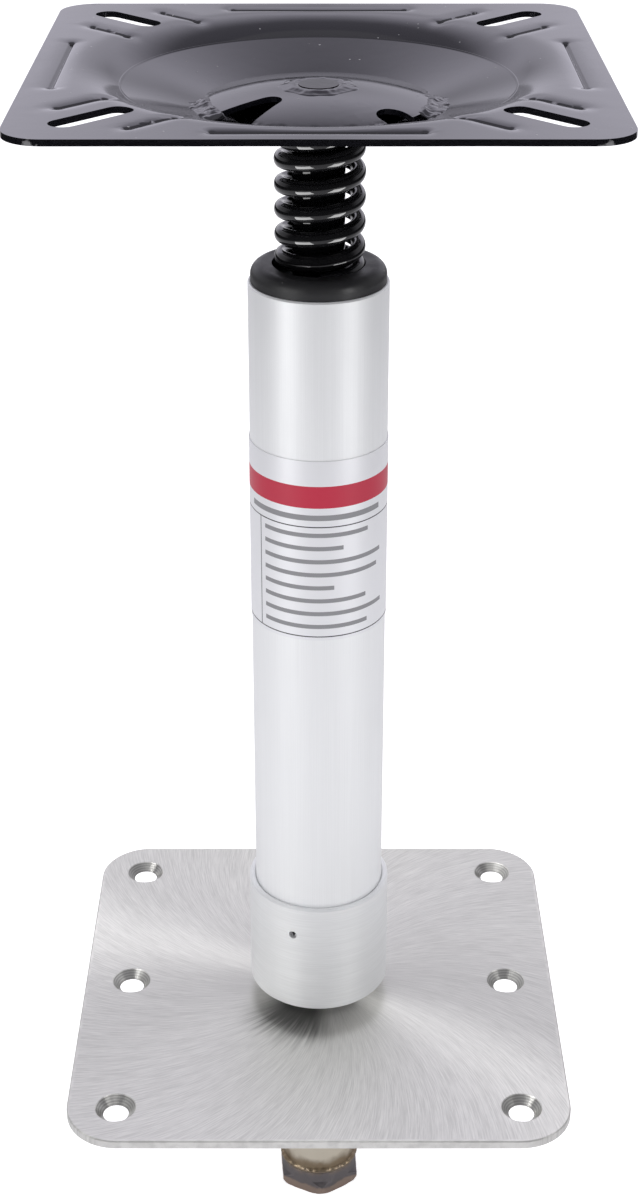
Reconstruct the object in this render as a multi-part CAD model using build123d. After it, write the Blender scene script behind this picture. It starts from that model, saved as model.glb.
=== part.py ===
from build123d import *
import os
from math import atan2, cos, pi, radians, sin, sqrt, tan

# Boat seat pedestal, in millimetres.
# The origin is the centre of the base plate's underside, which lies on the deck.
# +Z points up the post, and the photographed front is -Y.

# Base plate
plate_size = 177.8
base_thickness = 3.0
base_corner_radius = 19.0
screw_inset = 17.4
screw_hole_diameter = 9.0
countersink_diameter = 14.5
countersink_angle = 90.0
base_edge_break = 0.4

# Socket under the base plate, with the nut welded to its end
socket_diameter = 28.6
socket_bore = 23.4
socket_length = 78.6
nut_across_flats = 28.6
nut_height = 10.6
nut_turn = 3.0
nut_chamfer = 1.4
nut_weld_size = 1.7
socket_weld_size = 2.4

# Flanged liner in the socket
liner_flange_diameter = 34.0
liner_flange_thickness = 3.3
liner_length = 66.0

# Stub pin of the post, which screws into the nut
stub_diameter = 19.05
stub_shoulder_diameter = 32.0
stub_shoulder_thickness = 3.0
stub_spigot_length = 36.0
stub_thread_length = 20.0
stub_thread_relief = 1.2
stub_end_setback = 1.0
stub_chamfer = 1.5

# Post tube, with the collar and the plug at its foot
tube_diameter = 46.5
tube_wall = 2.6
tube_length = 275.5
tube_edge_break = 0.5
collar_wall = 2.35
collar_height = 44.3
collar_chamfer = 0.6
plug_height = 40.0
plug_relief_diameter = 30.0
plug_relief_depth = 12.0

# Slotted spring pin through collar, tube and plug
cross_pin_diameter = 3.0
cross_pin_bore = 1.5
cross_pin_slot = 0.6
cross_pin_length = 13.0
cross_pin_height = 32.5
cross_pin_bearing = -111.7
cross_pin_recess = 1.4

# Film label round the tube
label_bottom_height = 154.5
label_height = 66.4
label_film = 0.25
label_wrap = 290.0
label_bearing = -65.0

# Moulded bushing that caps the tube and guides the seat pin
cap_setback = 0.9
cap_height = 5.9
cap_round = 3.6
cap_core = 6.0
spring_recess_depth = 5.1
bushing_length = 54.0
bushing_wall = 2.4
bushing_guide_wall = 3.2
bushing_rib = 2.2
bushing_rib_count = 6

# Coil spring between the bushing and the seat
wire_thickness = 4.5
wire_height = 5.6
coil_diameter = 29.6
coil_lean = 0.4
body_coil_spacing = 8.25
body_turns = 4.167
end_gap = 0.4
end_turns = 1.0
top_coil_spacing = 5.1
top_turns = 0.903
spring_start_bearing = -90.0
points_per_turn = 12

# Thrust washer on top of the spring
thrust_washer_diameter = 27.0
thrust_washer_thickness = 1.5

# Seat pin with a turned-down spigot, its washer and its retaining ring
pin_diameter = 17.2
spigot_diameter = 12.7
pin_tail = 5.5
pin_top_above_hub = 0.5
pin_chamfer = 1.0
pin_groove_depth = 0.8
pin_washer_diameter = 24.0
pin_washer_thickness = 1.6
ring_thickness = 1.2
ring_width = 3.0
ring_opening = 70.0

# Pressed seat plate
seat_size = 177.8
sheet = 2.0
seat_corner_radius = 12.5
seat_edge_round = 0.5
dish_border = 8.9
roll_run = 18.0
rim_depth = 5.5
cone_run = 35.0
floor_depth = 15.8
slot_inset = 24.3
slot_travel = 20.4
slot_width = 8.8
bead_width = 4.0
bead_depth = 1.5
edge_bead_inset = 8.9
edge_bead_margin = 59.4
corner_bead_travel = 17.8
corner_bead_setback = 9.0
corner_bead_offset = 15.5

# Domed hub disc in the dish, welded to it on two sides
hub_seat_run = 9.0
hub_sheet = 1.8
hub_crown = 4.4
left_window_bearing = 225.0
left_window_reach = 20.5
left_window_width = 7.0
left_window_spread = 26.0
right_window_bearing = 314.0
right_window_reach = 33.0
right_window_width = 11.0
hub_weld_size = 1.9
left_weld_bearing = 178.0
left_weld_sweep = 36.0
right_weld_bearing = -30.0
right_weld_sweep = 38.0
pin_weld_diameter = 24.0
pin_weld_height = 1.1
floor_weld_size = 3.2

# Clearances
weld_fit = 0.1
press_fit = 0.03
slip_fit = 0.1
running_fit = 0.08
spring_guide_clearance = 0.1
spring_recess_clearance = 0.5
washer_clearance = 0.35
swivel_play = 0.1
end_play = 0.3

# Radii that follow
socket_radius = socket_diameter / 2
stub_radius = stub_diameter / 2
tube_radius = tube_diameter / 2
tube_bore_radius = tube_radius - tube_wall
collar_radius = tube_radius + collar_wall
cap_radius = tube_radius - cap_setback
pin_radius = pin_diameter / 2
spigot_radius = spigot_diameter / 2
coil_radius = coil_diameter / 2 - wire_thickness / 2
top_coil_radius = pin_radius + spring_guide_clearance + wire_thickness / 2
dish_radius = seat_size / 2 - dish_border
rim_radius = dish_radius - roll_run
floor_radius = rim_radius - cone_run
hub_radius = floor_radius + hub_seat_run

# Places that follow, from the middle of each plate
screw_offset = plate_size / 2 - screw_inset
slot_reach = (seat_size / 2 - slot_inset) * sqrt(2)

# Heights that follow, from the deck up
base_top = base_thickness
nut_top = -socket_length
nut_bottom = nut_top - nut_height
liner_top = base_top + liner_flange_thickness
foot_bottom = liner_top + stub_shoulder_thickness
collar_top = foot_bottom + collar_height
tube_top = foot_bottom + tube_length
cap_top = tube_top + cap_height
recess_floor = cap_top - spring_recess_depth
bushing_bottom = tube_top - bushing_length
end_coil_spacing = wire_height + end_gap
end_rise = end_coil_spacing * end_turns
spring_rise = end_rise + body_coil_spacing * body_turns + top_coil_spacing * top_turns
spring_top = recess_floor + wire_height + spring_rise
thrust_washer_top = spring_top + thrust_washer_thickness
floor_underside = thrust_washer_top + swivel_play
floor_top = floor_underside + sheet
seat_top = floor_top + floor_depth
cone_slope = (floor_depth - rim_depth) / cone_run
hub_edge_bottom = seat_top - rim_depth - cone_slope * (rim_radius - hub_radius)
hub_edge_top = hub_edge_bottom + hub_sheet
hub_crown_top = hub_edge_top + hub_crown
pin_top = hub_crown_top + pin_top_above_hub
pin_washer_top = bushing_bottom - end_play
ring_top = pin_washer_top - pin_washer_thickness
pin_bottom = ring_top - ring_thickness - pin_tail


def tube_solid(outer_radius, inner_radius, bottom, top):
    """Round tube on the post's axis between two heights."""
    ring = Circle(outer_radius) - Circle(inner_radius)
    return Pos(0, 0, bottom) * extrude(ring, top - bottom)


def rod_solid(radius, bottom, top):
    """Round rod on the post's axis between two heights."""
    return Pos(0, 0, bottom) * extrude(Circle(radius), top - bottom)


def turned(points):
    """Solid turned about the post's axis from a closed outline of (radius, height)."""
    return revolve(Plane.XZ * make_face(Polyline(*points, close=True)), Axis.Z)


def make_base_plate():
    plate = extrude(RectangleRounded(plate_size, plate_size, base_corner_radius), base_thickness)
    plate = chamfer(plate.edges().group_by(Axis.Z)[-1], base_edge_break)
    weld_groove = turned([
        (0, 0), (socket_radius + weld_fit + socket_weld_size, 0),
        (socket_radius + weld_fit, socket_weld_size), (0, socket_weld_size)])
    plate -= rod_solid(socket_radius + weld_fit, 0, base_top) + weld_groove
    hole_radius = screw_hole_diameter / 2
    sink_radius = countersink_diameter / 2
    sink_depth = (sink_radius - hole_radius) / tan(radians(countersink_angle / 2))
    hole = rod_solid(hole_radius, 0, base_top)
    hole += Pos(0, 0, base_top) * Cone(
        hole_radius, sink_radius, sink_depth, align=(Align.CENTER, Align.CENTER, Align.MAX))
    for row in (-1, 0, 1):
        for side in (-1, 1):
            plate -= Pos(side * screw_offset, row * screw_offset, 0) * hole
    return plate


def make_socket_tube():
    return tube_solid(socket_radius, socket_bore / 2, nut_top, base_top)


def make_socket_weld():
    """Weld in the groove under the plate, clear of what the plate lies on."""
    inner = socket_radius
    return turned([
        (inner, socket_weld_size), (inner + weld_fit, socket_weld_size),
        (inner + weld_fit + socket_weld_size, 0), (inner, -socket_weld_size)])


def make_base_nut():
    corner_radius = nut_across_flats / 2 / cos(radians(30))
    nut = extrude(RegularPolygon(corner_radius, 6, rotation=30 + nut_turn), nut_height)
    nut = Pos(0, 0, nut_bottom) * nut
    flat_radius = nut_across_flats / 2 - nut_chamfer / 2
    top_radius = flat_radius + nut_height / tan(radians(30))
    nut &= Pos(0, 0, nut_bottom) * Cone(
        flat_radius, top_radius, nut_height, align=(Align.CENTER, Align.CENTER, Align.MIN))
    return nut - rod_solid(stub_radius + slip_fit, nut_bottom, nut_top)


def make_nut_weld(nut):
    """Bead round the joint of socket and nut."""
    bead = Pos(0, 0, nut_top) * Torus(socket_radius, nut_weld_size)
    return (bead - rod_solid(socket_radius, nut_top - nut_weld_size, nut_top + nut_weld_size)) - nut


def make_socket_liner():
    bore = stub_radius + slip_fit
    sleeve = tube_solid(socket_bore / 2 - press_fit, bore, base_top - liner_length, base_top)
    return sleeve + tube_solid(liner_flange_diameter / 2, bore, base_top, liner_top)


def make_post_stub():
    end = nut_bottom + stub_end_setback
    stub = rod_solid(stub_radius, end, foot_bottom + stub_spigot_length)
    stub = chamfer(stub.edges().group_by(Axis.Z)[0], stub_chamfer)
    stub += rod_solid(stub_shoulder_diameter / 2, liner_top, foot_bottom)
    relief_bottom = end + stub_thread_length
    relief_top = relief_bottom + 2 * stub_thread_relief
    relief_outer = stub_radius + stub_thread_relief
    relief_inner = stub_radius - stub_thread_relief
    return stub - tube_solid(relief_outer, relief_inner, relief_bottom, relief_top)


def cross_pin_place(depth):
    """Frame on the cross pin's axis, at a distance from the post's axis, with Z outwards."""
    bearing = radians(cross_pin_bearing)
    outward = Vector(cos(bearing), sin(bearing), 0)
    height = Vector(0, 0, foot_bottom + cross_pin_height)
    return Plane(origin=height + outward * depth, z_dir=outward)


def cross_pin_hole():
    inner_end = collar_radius - cross_pin_recess - cross_pin_length
    bore_length = collar_radius - inner_end + cross_pin_recess
    bore = extrude(Circle(cross_pin_diameter / 2 + press_fit), bore_length)
    return cross_pin_place(inner_end) * bore


def make_cross_pin():
    section = Circle(cross_pin_diameter / 2) - Circle(cross_pin_bore / 2)
    section -= Pos(0, cross_pin_diameter / 2) * Rectangle(cross_pin_slot, cross_pin_diameter)
    inner_end = collar_radius - cross_pin_recess - cross_pin_length
    return cross_pin_place(inner_end) * extrude(section, cross_pin_length)


def make_foot_collar():
    collar = tube_solid(collar_radius, tube_radius + press_fit, foot_bottom, collar_top)
    collar = chamfer(collar.edges().filter_by(GeomType.CIRCLE), collar_chamfer)
    return collar - cross_pin_hole()


def make_foot_plug():
    plug = tube_solid(
        tube_bore_radius - press_fit, stub_radius + press_fit, foot_bottom, foot_bottom + plug_height)
    recess_bottom = foot_bottom + plug_height - plug_relief_depth
    plug -= rod_solid(plug_relief_diameter / 2, recess_bottom, foot_bottom + plug_height)
    return plug - cross_pin_hole()


def make_post_tube():
    tube = tube_solid(tube_radius, tube_bore_radius, foot_bottom, tube_top)
    rim = tube.edges().filter_by(GeomType.CIRCLE).sort_by(Axis.Z)[-2:].sort_by(SortBy.RADIUS)[-1]
    return chamfer(rim, tube_edge_break) - cross_pin_hole()


def make_rating_label():
    """Film wrapped round the tube, with a bare strip behind."""
    bottom = foot_bottom + label_bottom_height
    middle = tube_radius + press_fit + label_film / 2
    section = Plane.XZ * Pos(middle, bottom + label_height / 2) * Rectangle(label_film, label_height)
    return Rot(0, 0, label_bearing - label_wrap / 2) * revolve(section, Axis.Z, label_wrap)


def make_top_bushing():
    """Round-edged cap, with a ribbed sleeve in the tube and a bore for the seat pin."""
    core_bottom = recess_floor - cap_core
    head = rod_solid(cap_radius, tube_top, cap_top)
    head = fillet(head.edges().group_by(Axis.Z)[-1], cap_round)
    sleeve_radius = tube_bore_radius - press_fit
    guide_radius = pin_radius + running_fit + bushing_guide_wall
    body = head + rod_solid(sleeve_radius, core_bottom, tube_top)
    body += tube_solid(sleeve_radius, sleeve_radius - bushing_wall, bushing_bottom, core_bottom)
    body += rod_solid(guide_radius, bushing_bottom, core_bottom)
    web_length = sleeve_radius - bushing_wall / 2
    web = Pos(web_length / 2, 0, (bushing_bottom + core_bottom) / 2) * Box(
        web_length, bushing_rib, core_bottom - bushing_bottom)
    for index in range(bushing_rib_count):
        body += Rot(0, 0, index * 360 / bushing_rib_count) * web
    body -= rod_solid(coil_diameter / 2 + spring_recess_clearance, recess_floor, cap_top)
    return body - rod_solid(pin_radius + running_fit, bushing_bottom, cap_top)


def spring_point(turn):
    """Centre of the wire after a number of turns from its lower end."""
    body_end = end_turns + body_turns
    in_body = min(max(turn - end_turns, 0), body_turns)
    at_top = max(turn - body_end, 0)
    height = recess_floor + wire_height / 2 + end_coil_spacing * min(turn, end_turns)
    height += body_coil_spacing * in_body + top_coil_spacing * at_top
    taper = min(at_top / (top_turns / 2), 1)
    drawn_in = taper * taper * (3 - 2 * taper)
    radius = coil_radius + (top_coil_radius - coil_radius) * drawn_in
    angle = radians(spring_start_bearing) + 2 * pi * turn
    return Vector(coil_lean * (1 - drawn_in) + radius * cos(angle), radius * sin(angle), height)


def make_seat_spring():
    """Wire a little taller than thick, wound closer at its foot and drawn in at its head."""
    turns = end_turns + body_turns + top_turns
    count = round(turns * points_per_turn)
    path = Spline(*[spring_point(turns * index / count) for index in range(count + 1)])
    outward = Vector((path @ 0).X, (path @ 0).Y, 0)
    place = Plane(origin=path @ 0, x_dir=outward, z_dir=path % 0)
    section = place * Ellipse(wire_thickness / 2, wire_height / 2)
    return sweep(section, path=path, is_frenet=True)


def make_thrust_washer():
    bore = pin_radius + washer_clearance
    return tube_solid(thrust_washer_diameter / 2, bore, spring_top, thrust_washer_top)


def make_seat_pin():
    pin = rod_solid(pin_radius, pin_bottom, floor_underside)
    pin = chamfer(pin.edges().group_by(Axis.Z)[0], pin_chamfer)
    pin += rod_solid(spigot_radius, floor_underside, pin_top)
    groove_bottom = ring_top - ring_thickness
    groove = tube_solid(
        pin_radius + pin_groove_depth, pin_radius - pin_groove_depth, groove_bottom, ring_top)
    return pin - groove


def make_pin_washer():
    return tube_solid(pin_washer_diameter / 2, pin_radius + slip_fit, ring_top, pin_washer_top)


def make_pin_ring():
    """Open spring ring that snaps into the pin's groove."""
    inner = pin_radius - pin_groove_depth + press_fit
    middle = inner + ring_width / 2
    section = Plane.XZ * Pos(middle, ring_top - ring_thickness / 2) * Rectangle(
        ring_width, ring_thickness)
    return Rot(0, 0, ring_opening / 2) * revolve(section, Axis.Z, 360 - ring_opening)


def capsule(radius, travel):
    """Round-ended bar along X, centred on the origin."""
    bar = Rot(0, 90, 0) * Cylinder(radius, travel)
    return bar + Pos(-travel / 2, 0, 0) * Sphere(radius) + Pos(travel / 2, 0, 0) * Sphere(radius)


def bead_places():
    """Frames and travels of the pressed beads: one along each edge, two beside each slot."""
    places = []
    edge_line = seat_size / 2 - edge_bead_inset
    edge_travel = seat_size - 2 * edge_bead_margin
    corner_reach = slot_reach - corner_bead_setback
    for quarter in range(4):
        places.append((Rot(0, 0, 90 * quarter) * Pos(0, edge_line), edge_travel))
        for side in (-1, 1):
            spot = Rot(0, 0, 45 + 90 * quarter) * Pos(corner_reach, side * corner_bead_offset)
            places.append((spot, corner_bead_travel))
    return places


def dish_top_line():
    """Upper line of the pressed dish: a rolled shoulder, a crisp rim, a cone and a flat floor."""
    roll_radius = (roll_run * roll_run + rim_depth * rim_depth) / (2 * rim_depth)
    middle = atan2(roll_run, roll_radius - rim_depth) / 2
    roll_middle = (dish_radius - roll_radius * sin(middle), roll_radius * (cos(middle) - 1))
    roll = ThreePointArc((dish_radius, 0), roll_middle, (rim_radius, -rim_depth))
    inner = Polyline(
        (rim_radius, -rim_depth), (floor_radius, -floor_depth), (spigot_radius, -floor_depth))
    return roll.edges() + inner.edges()


def dish_sheet():
    """The dish itself, with a short flat lip that joins the blank."""
    lip = Line((dish_radius + sheet, 0), (dish_radius, 0))
    top_line = Wire(lip.edges() + dish_top_line())
    section = make_face(top_line.offset_2d(sheet, Kind.INTERSECTION, Side.LEFT, closed=True))
    return revolve(Plane.XZ * section, Axis.Z)


def space_above_sheet():
    """Everything above the top surface of the plate and its dish."""
    lid = Polyline((spigot_radius, -floor_depth), (spigot_radius, 0), (dish_radius, 0))
    hollow = revolve(Plane.XZ * make_face(dish_top_line() + lid.edges()), Axis.Z)
    slab = Pos(0, 0, seat_size / 2) * Box(2 * seat_size, 2 * seat_size, seat_size)
    return slab + hollow


def make_seat_plate():
    """Sheet pressed into a dish, with beads and slots."""
    blank = extrude(RectangleRounded(seat_size, seat_size, seat_corner_radius), -sheet)
    blank = fillet(blank.edges().group_by(Axis.Z)[-1], seat_edge_round)
    plate = blank - Cylinder(dish_radius, 3 * sheet) + dish_sheet()
    half_width = bead_width / 2
    groove_radius = (half_width * half_width + bead_depth * bead_depth) / (2 * bead_depth)
    lift = groove_radius - bead_depth
    above = space_above_sheet()
    for place, travel in bead_places():
        plate += place * (Pos(0, 0, lift) * capsule(groove_radius + sheet, travel)) - above
    for place, travel in bead_places():
        plate -= place * (Pos(0, 0, lift) * capsule(groove_radius, travel))
    slot = extrude(SlotCenterToCenter(slot_travel, slot_width), 3 * sheet, both=True)
    for quarter in range(4):
        plate -= Rot(0, 0, 45 + 90 * quarter) * Pos(slot_reach) * slot
    plate -= rod_solid(spigot_radius + weld_fit, -floor_depth - 2 * sheet, 0)
    return Pos(0, 0, seat_top) * plate


def window_cutter(reach, width, spread):
    """Radial notch, round at its inner end, that widens towards the disc's rim."""
    half = width / 2
    outer = hub_radius + width
    flare = (outer - reach) * tan(radians(spread / 2))
    wedge = make_face(Polyline(
        (reach, -half), (outer, -half - flare), (outer, half + flare), (reach, half), close=True))
    outline = wedge + Pos(reach) * Circle(half)
    return extrude(outline, 4 * hub_crown, both=True)


def make_hub_disc():
    """Shallow dome that closes the dish round the pin."""
    dome_radius = (hub_radius ** 2 + hub_crown ** 2) / (2 * hub_crown)
    centre = hub_edge_top + hub_crown - dome_radius
    dome = Pos(0, 0, centre) * (Sphere(dome_radius) - Sphere(dome_radius - hub_sheet))
    disc = dome & rod_solid(hub_radius, hub_edge_bottom, hub_crown_top + hub_sheet)
    disc -= rod_solid(spigot_radius + weld_fit, hub_edge_bottom, hub_crown_top + hub_sheet)
    left = window_cutter(left_window_reach, left_window_width, left_window_spread)
    right = window_cutter(right_window_reach, right_window_width, 0)
    disc -= Pos(0, 0, hub_edge_top) * Rot(0, 0, left_window_bearing) * left
    return disc - Pos(0, 0, hub_edge_top) * Rot(0, 0, right_window_bearing) * right


def make_hub_weld(bearing, sweep_angle, plate, disc):
    """Bead between the disc's rim and the dish, swept from a bearing through an angle."""
    section = Plane.XZ * Pos(hub_radius + hub_weld_size / 3, hub_edge_top) * Circle(hub_weld_size)
    bead = Rot(0, 0, bearing) * revolve(section, Axis.Z, sweep_angle)
    return biggest(bead - plate - disc)


def make_pin_weld(disc):
    """Ring of weld that joins the pin's upper end to the disc."""
    outer = pin_weld_diameter / 2
    inner = spigot_radius + weld_fit
    crown = hub_crown_top + pin_weld_height
    base = hub_crown_top - hub_sheet
    face = make_face(Polyline((inner, base), (outer, base)) + Line((inner, base), (inner, pin_top))
                     + ThreePointArc((inner, pin_top), ((inner + outer) / 2, crown), (outer, base)))
    return biggest(revolve(Plane.XZ * face, Axis.Z) - disc)


def make_floor_weld():
    """Fillet weld round the pin on the floor of the dish."""
    inner = spigot_radius
    return turned([(inner, floor_top), (inner + floor_weld_size, floor_top),
                   (inner, floor_top + floor_weld_size)])


def biggest(shape):
    """The largest solid of a cut shape."""
    return shape.solids().sort_by(SortBy.VOLUME)[-1]


def main():
    seat_plate = make_seat_plate()
    hub_disc = make_hub_disc()
    base_nut = make_base_nut()
    nodes = {
        "base_plate": make_base_plate(),
        "socket_tube": make_socket_tube(),
        "socket_weld": make_socket_weld(),
        "base_nut": base_nut,
        "nut_weld": make_nut_weld(base_nut),
        "socket_liner": make_socket_liner(),
        "post_stub": make_post_stub(),
        "foot_plug": make_foot_plug(),
        "foot_collar": make_foot_collar(),
        "cross_pin": make_cross_pin(),
        "post_tube": make_post_tube(),
        "rating_label": make_rating_label(),
        "top_bushing": make_top_bushing(),
        "seat_spring": make_seat_spring(),
        "thrust_washer": make_thrust_washer(),
        "seat_plate": seat_plate,
        "hub_disc": hub_disc,
        "hub_weld_left": make_hub_weld(
            left_weld_bearing, left_weld_sweep, seat_plate, hub_disc),
        "hub_weld_right": make_hub_weld(
            right_weld_bearing, right_weld_sweep, seat_plate, hub_disc),
        "pin_weld": make_pin_weld(hub_disc),
        "floor_weld": make_floor_weld(),
        "seat_pin": make_seat_pin(),
        "pin_washer": make_pin_washer(),
        "pin_ring": make_pin_ring(),
    }
    os.makedirs("parts", exist_ok=True)
    for name, shape in nodes.items():
        export_step(shape, f"parts/{name}.step")
    print(f"seat face {seat_top:.3f}, nut bottom {nut_bottom:.3f}, spring top {spring_top:.3f}")


main()
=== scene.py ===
# %% [markdown]
# Boat seat pedestal
#
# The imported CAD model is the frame: a deck plate, a tube on it, a coil spring and a pressed
# seat plate that swivels. This lesson dresses it. The pieces whose CAD shape is already
# right keep it and get a finish. Pressed sheet, welds, the spring and the nut are shaped
# again here, because paint and heat leave marks that a drawing doesn't have.

# %% Tools and frame
import bmesh
import bpy
from math import atan2, cos, pi, radians, sin, sqrt, tan, tau
from mathutils import Matrix, Vector, noise


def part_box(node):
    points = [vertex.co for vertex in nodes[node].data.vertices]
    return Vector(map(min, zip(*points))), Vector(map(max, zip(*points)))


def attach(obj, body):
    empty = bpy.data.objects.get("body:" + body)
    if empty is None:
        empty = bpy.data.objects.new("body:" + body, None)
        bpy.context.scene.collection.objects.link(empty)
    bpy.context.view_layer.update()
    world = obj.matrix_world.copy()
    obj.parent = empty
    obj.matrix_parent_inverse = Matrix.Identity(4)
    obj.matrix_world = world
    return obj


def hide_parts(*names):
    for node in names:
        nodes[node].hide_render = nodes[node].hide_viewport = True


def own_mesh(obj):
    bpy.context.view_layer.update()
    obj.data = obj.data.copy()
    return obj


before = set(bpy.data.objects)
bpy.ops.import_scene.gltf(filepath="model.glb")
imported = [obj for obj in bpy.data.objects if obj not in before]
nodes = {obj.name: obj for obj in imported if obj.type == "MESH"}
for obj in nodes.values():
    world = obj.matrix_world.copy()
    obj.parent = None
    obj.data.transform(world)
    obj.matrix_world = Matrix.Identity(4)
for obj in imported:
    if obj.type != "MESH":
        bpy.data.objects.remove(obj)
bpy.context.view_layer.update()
scene = bpy.context.scene

# %% [markdown]
# Camera
#
# The photograph looks down at the post from the front. A camera fitted to the corners of both
# square plates gives its place, its lens and a small upward crop, which is the lens shift.

# %% Camera
camera_data = bpy.data.cameras.new("camera")
camera_data.lens = 63.5
camera_data.sensor_width = 36.0
camera_data.shift_x = 0.0007
camera_data.shift_y = -0.0683
camera = bpy.data.objects.new("camera", camera_data)
camera.location = (0.0, -0.656, 0.510)
looks_down = 25.38
camera.rotation_euler = (radians(90.0 - looks_down), 0.0, 0.0)
scene.collection.objects.link(camera)
scene.camera = camera
print("camera at", tuple(round(value, 3) for value in camera.location))

# %% [markdown]
# Node helper
#
# Every finish below is a small network of shader nodes. One helper adds a node, sets it up
# and joins its inputs, so that each finish reads like a recipe.


# %% Node helper
def join(tree, value, socket):
    """Gives an input its number or colour, or links another node's output to it."""
    if isinstance(value, bpy.types.NodeSocket):
        tree.links.new(value, socket)
    else:
        socket.default_value = value


def add(tree, kind, inputs=None, **settings):
    """A shader node with its settings. Each input takes a number or another node's output."""
    made = tree.nodes.new("ShaderNode" + kind)
    for name, value in settings.items():
        setattr(made, name, value)
    for name, value in (inputs or {}).items():
        join(tree, value, made.inputs[name])
    return made


def math(tree, operation, first, second=0.0, clamp=False):
    """The output of a Math node."""
    made = add(tree, "Math", {0: first, 1: second}, operation=operation, use_clamp=clamp)
    return made.outputs[0]


def times(tree, first, second, clamp=False):
    """The output of a Math node that multiplies."""
    return math(tree, "MULTIPLY", first, second, clamp)


def plus(tree, first, second, clamp=False):
    """The output of a Math node that adds."""
    return math(tree, "ADD", first, second, clamp)


def remap(tree, value, low, high, new_low=0.0, new_high=1.0, smooth=True):
    """The output of a Map Range node."""
    made = add(tree, "MapRange", {"Value": value, "From Min": low, "From Max": high,
                                  "To Min": new_low, "To Max": new_high})
    made.interpolation_type = "SMOOTHSTEP" if smooth else "LINEAR"
    return made.outputs["Result"]


def fractal(tree, where, scale, detail):
    """The value of a Noise Texture node."""
    return add(tree, "TexNoise", {"Vector": where, "Scale": scale, "Detail": detail}).outputs[0]


def blend(tree, share, first, second):
    """A value that goes from the first to the second as a share goes from 0 to 1."""
    return plus(tree, times(tree, first, math(tree, "SUBTRACT", 1.0, share)),
                times(tree, second, share))


def mix_colour(tree, factor, first, second, mode="MIX"):
    """The colour output of a Mix node."""
    made = add(tree, "Mix", data_type="RGBA", blend_type=mode, clamp_factor=True)
    for index, value in ((0, factor), (6, first), (7, second)):
        colour = (*value, 1.0)[:4] if isinstance(value, tuple) else value
        join(tree, colour, made.inputs[index])
    return made.outputs[2]


def new_material(name):
    """A material and its node tree, which is empty."""
    material = bpy.data.materials.new(name)
    material.use_nodes = True
    material.node_tree.nodes.clear()
    return material, material.node_tree


def toned(tree, colour, tone):
    """A colour made darker or lighter by a tone around 1."""
    grey = add(tree, "CombineColor", {0: tone, 1: tone, 2: tone}).outputs[0]
    return mix_colour(tree, 1.0, colour, grey, "MULTIPLY")


# %% [markdown]
# Studio
#
# The object stands over a pale floor in an even white room. The room is white behind the
# object, and darker to the sides and behind the camera, so that gloss paint and round metal
# keep their depth. The camera itself sees plain white.

# %% Room
world = bpy.data.worlds.new("room")
world.use_nodes = True
scene.world = world
room = world.node_tree
room.nodes.clear()
room_direction = add(room, "TexCoord").outputs["Generated"]
room_axes = add(room, "SeparateXYZ", {0: room_direction})
behind = remap(room, room_axes.outputs["Y"], -0.15, 0.30)
wall = remap(room, room_axes.outputs["Z"], 0.40, 0.76, 1.06, 0.40)
beside = remap(room, math(room, "ABSOLUTE", room_axes.outputs["X"]), 0.45, 0.90, 1.0, 0.45)
white_wall = times(room, times(room, behind, wall), beside)
overhead = remap(room, room_axes.outputs["Z"], 0.55, 0.90, 0.0, 0.40)
mirrored = plus(room, math(room, "MAXIMUM", white_wall, overhead), 0.05)
room_path = add(room, "LightPath")
seen_in_gloss = math(room, "MAXIMUM", room_path.outputs["Is Glossy Ray"],
                     room_path.outputs["Is Transmission Ray"])
room_level = plus(room, times(room, seen_in_gloss, mirrored),
                  room_path.outputs["Is Camera Ray"])
ambient = times(room, room_path.outputs["Is Diffuse Ray"], 0.76)
room_level = plus(room, room_level, ambient)
room_shader = add(room, "Background", {"Color": (0.985, 0.975, 1.04, 1.0), "Strength": room_level})
add(room, "OutputWorld", {"Surface": room_shader.outputs[0]})
print("room nodes", len(room.nodes))

# %% [markdown]
# Lamps
#
# A product photograph is lit by soft boxes, and metal and gloss paint show where they stand.
# Two large boxes in front light the metal and the welds, and a wide one above and behind
# lights everything. Small ones, low in front, draw the short marks on the coils and the pin. A
# high one at the left draws the bright fans on the deck plate, and throws no shadow, because
# the photograph shows none from it.


# %% Lamps
def soft_box(name, azimuth, distance, height, width, tall, power, aim_height):
    """A rectangular lamp at an azimuth from the camera's side, aimed at the post."""
    lamp_data = bpy.data.lights.new(name, "AREA")
    lamp_data.shape = "RECTANGLE"
    lamp_data.size, lamp_data.size_y = width, tall
    lamp_data.energy = power
    lamp = bpy.data.objects.new(name, lamp_data)
    turn = radians(azimuth)
    lamp.location = (distance * sin(turn), -distance * cos(turn), height)
    aim = Vector((0.0, 0.0, aim_height)) - lamp.location
    lamp.rotation_euler = aim.to_track_quat("-Z", "Y").to_euler()
    lamp.visible_camera = False
    scene.collection.objects.link(lamp)
    return lamp


def shine(lamp, pieces, state="INCLUDE"):
    """Lets a lamp light these pieces only, or every piece but these."""
    group = bpy.data.collections.new(lamp.name + "_light")
    for piece in pieces:
        group.objects.link(piece)
    for member in group.collection_objects:
        member.light_linking.link_state = state
    lamp.light_linking.receiver_collection = group


box_left = soft_box("box_left", -50, 1.2, 0.35, 0.50, 0.9, 5.0, 0.12)
box_right = soft_box("box_right", 52, 1.2, 0.35, 0.40, 0.9, 4.0, 0.12)
box_top = soft_box("box_top", 180, 0.5, 1.5, 1.4, 1.4, 6.0, 0.0)
box_top.visible_glossy = False
low_left = soft_box("low_left", -45, 0.21, 0.105, 0.20, 0.15, 0.95, 0.315)
low_right = soft_box("low_right", 56, 0.21, 0.105, 0.16, 0.15, 0.75, 0.315)
side_left = soft_box("side_left", -53, 0.5, 0.16, 0.30, 0.14, 0.8, 0.31)
side_right = soft_box("side_right", 50, 0.5, 0.16, 0.26, 0.14, 0.6, 0.31)
box_high = soft_box("box_high", -78, 0.55, 0.95, 0.45, 0.45, 4.6, 0.0)
box_high.data.use_shadow = False

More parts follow.
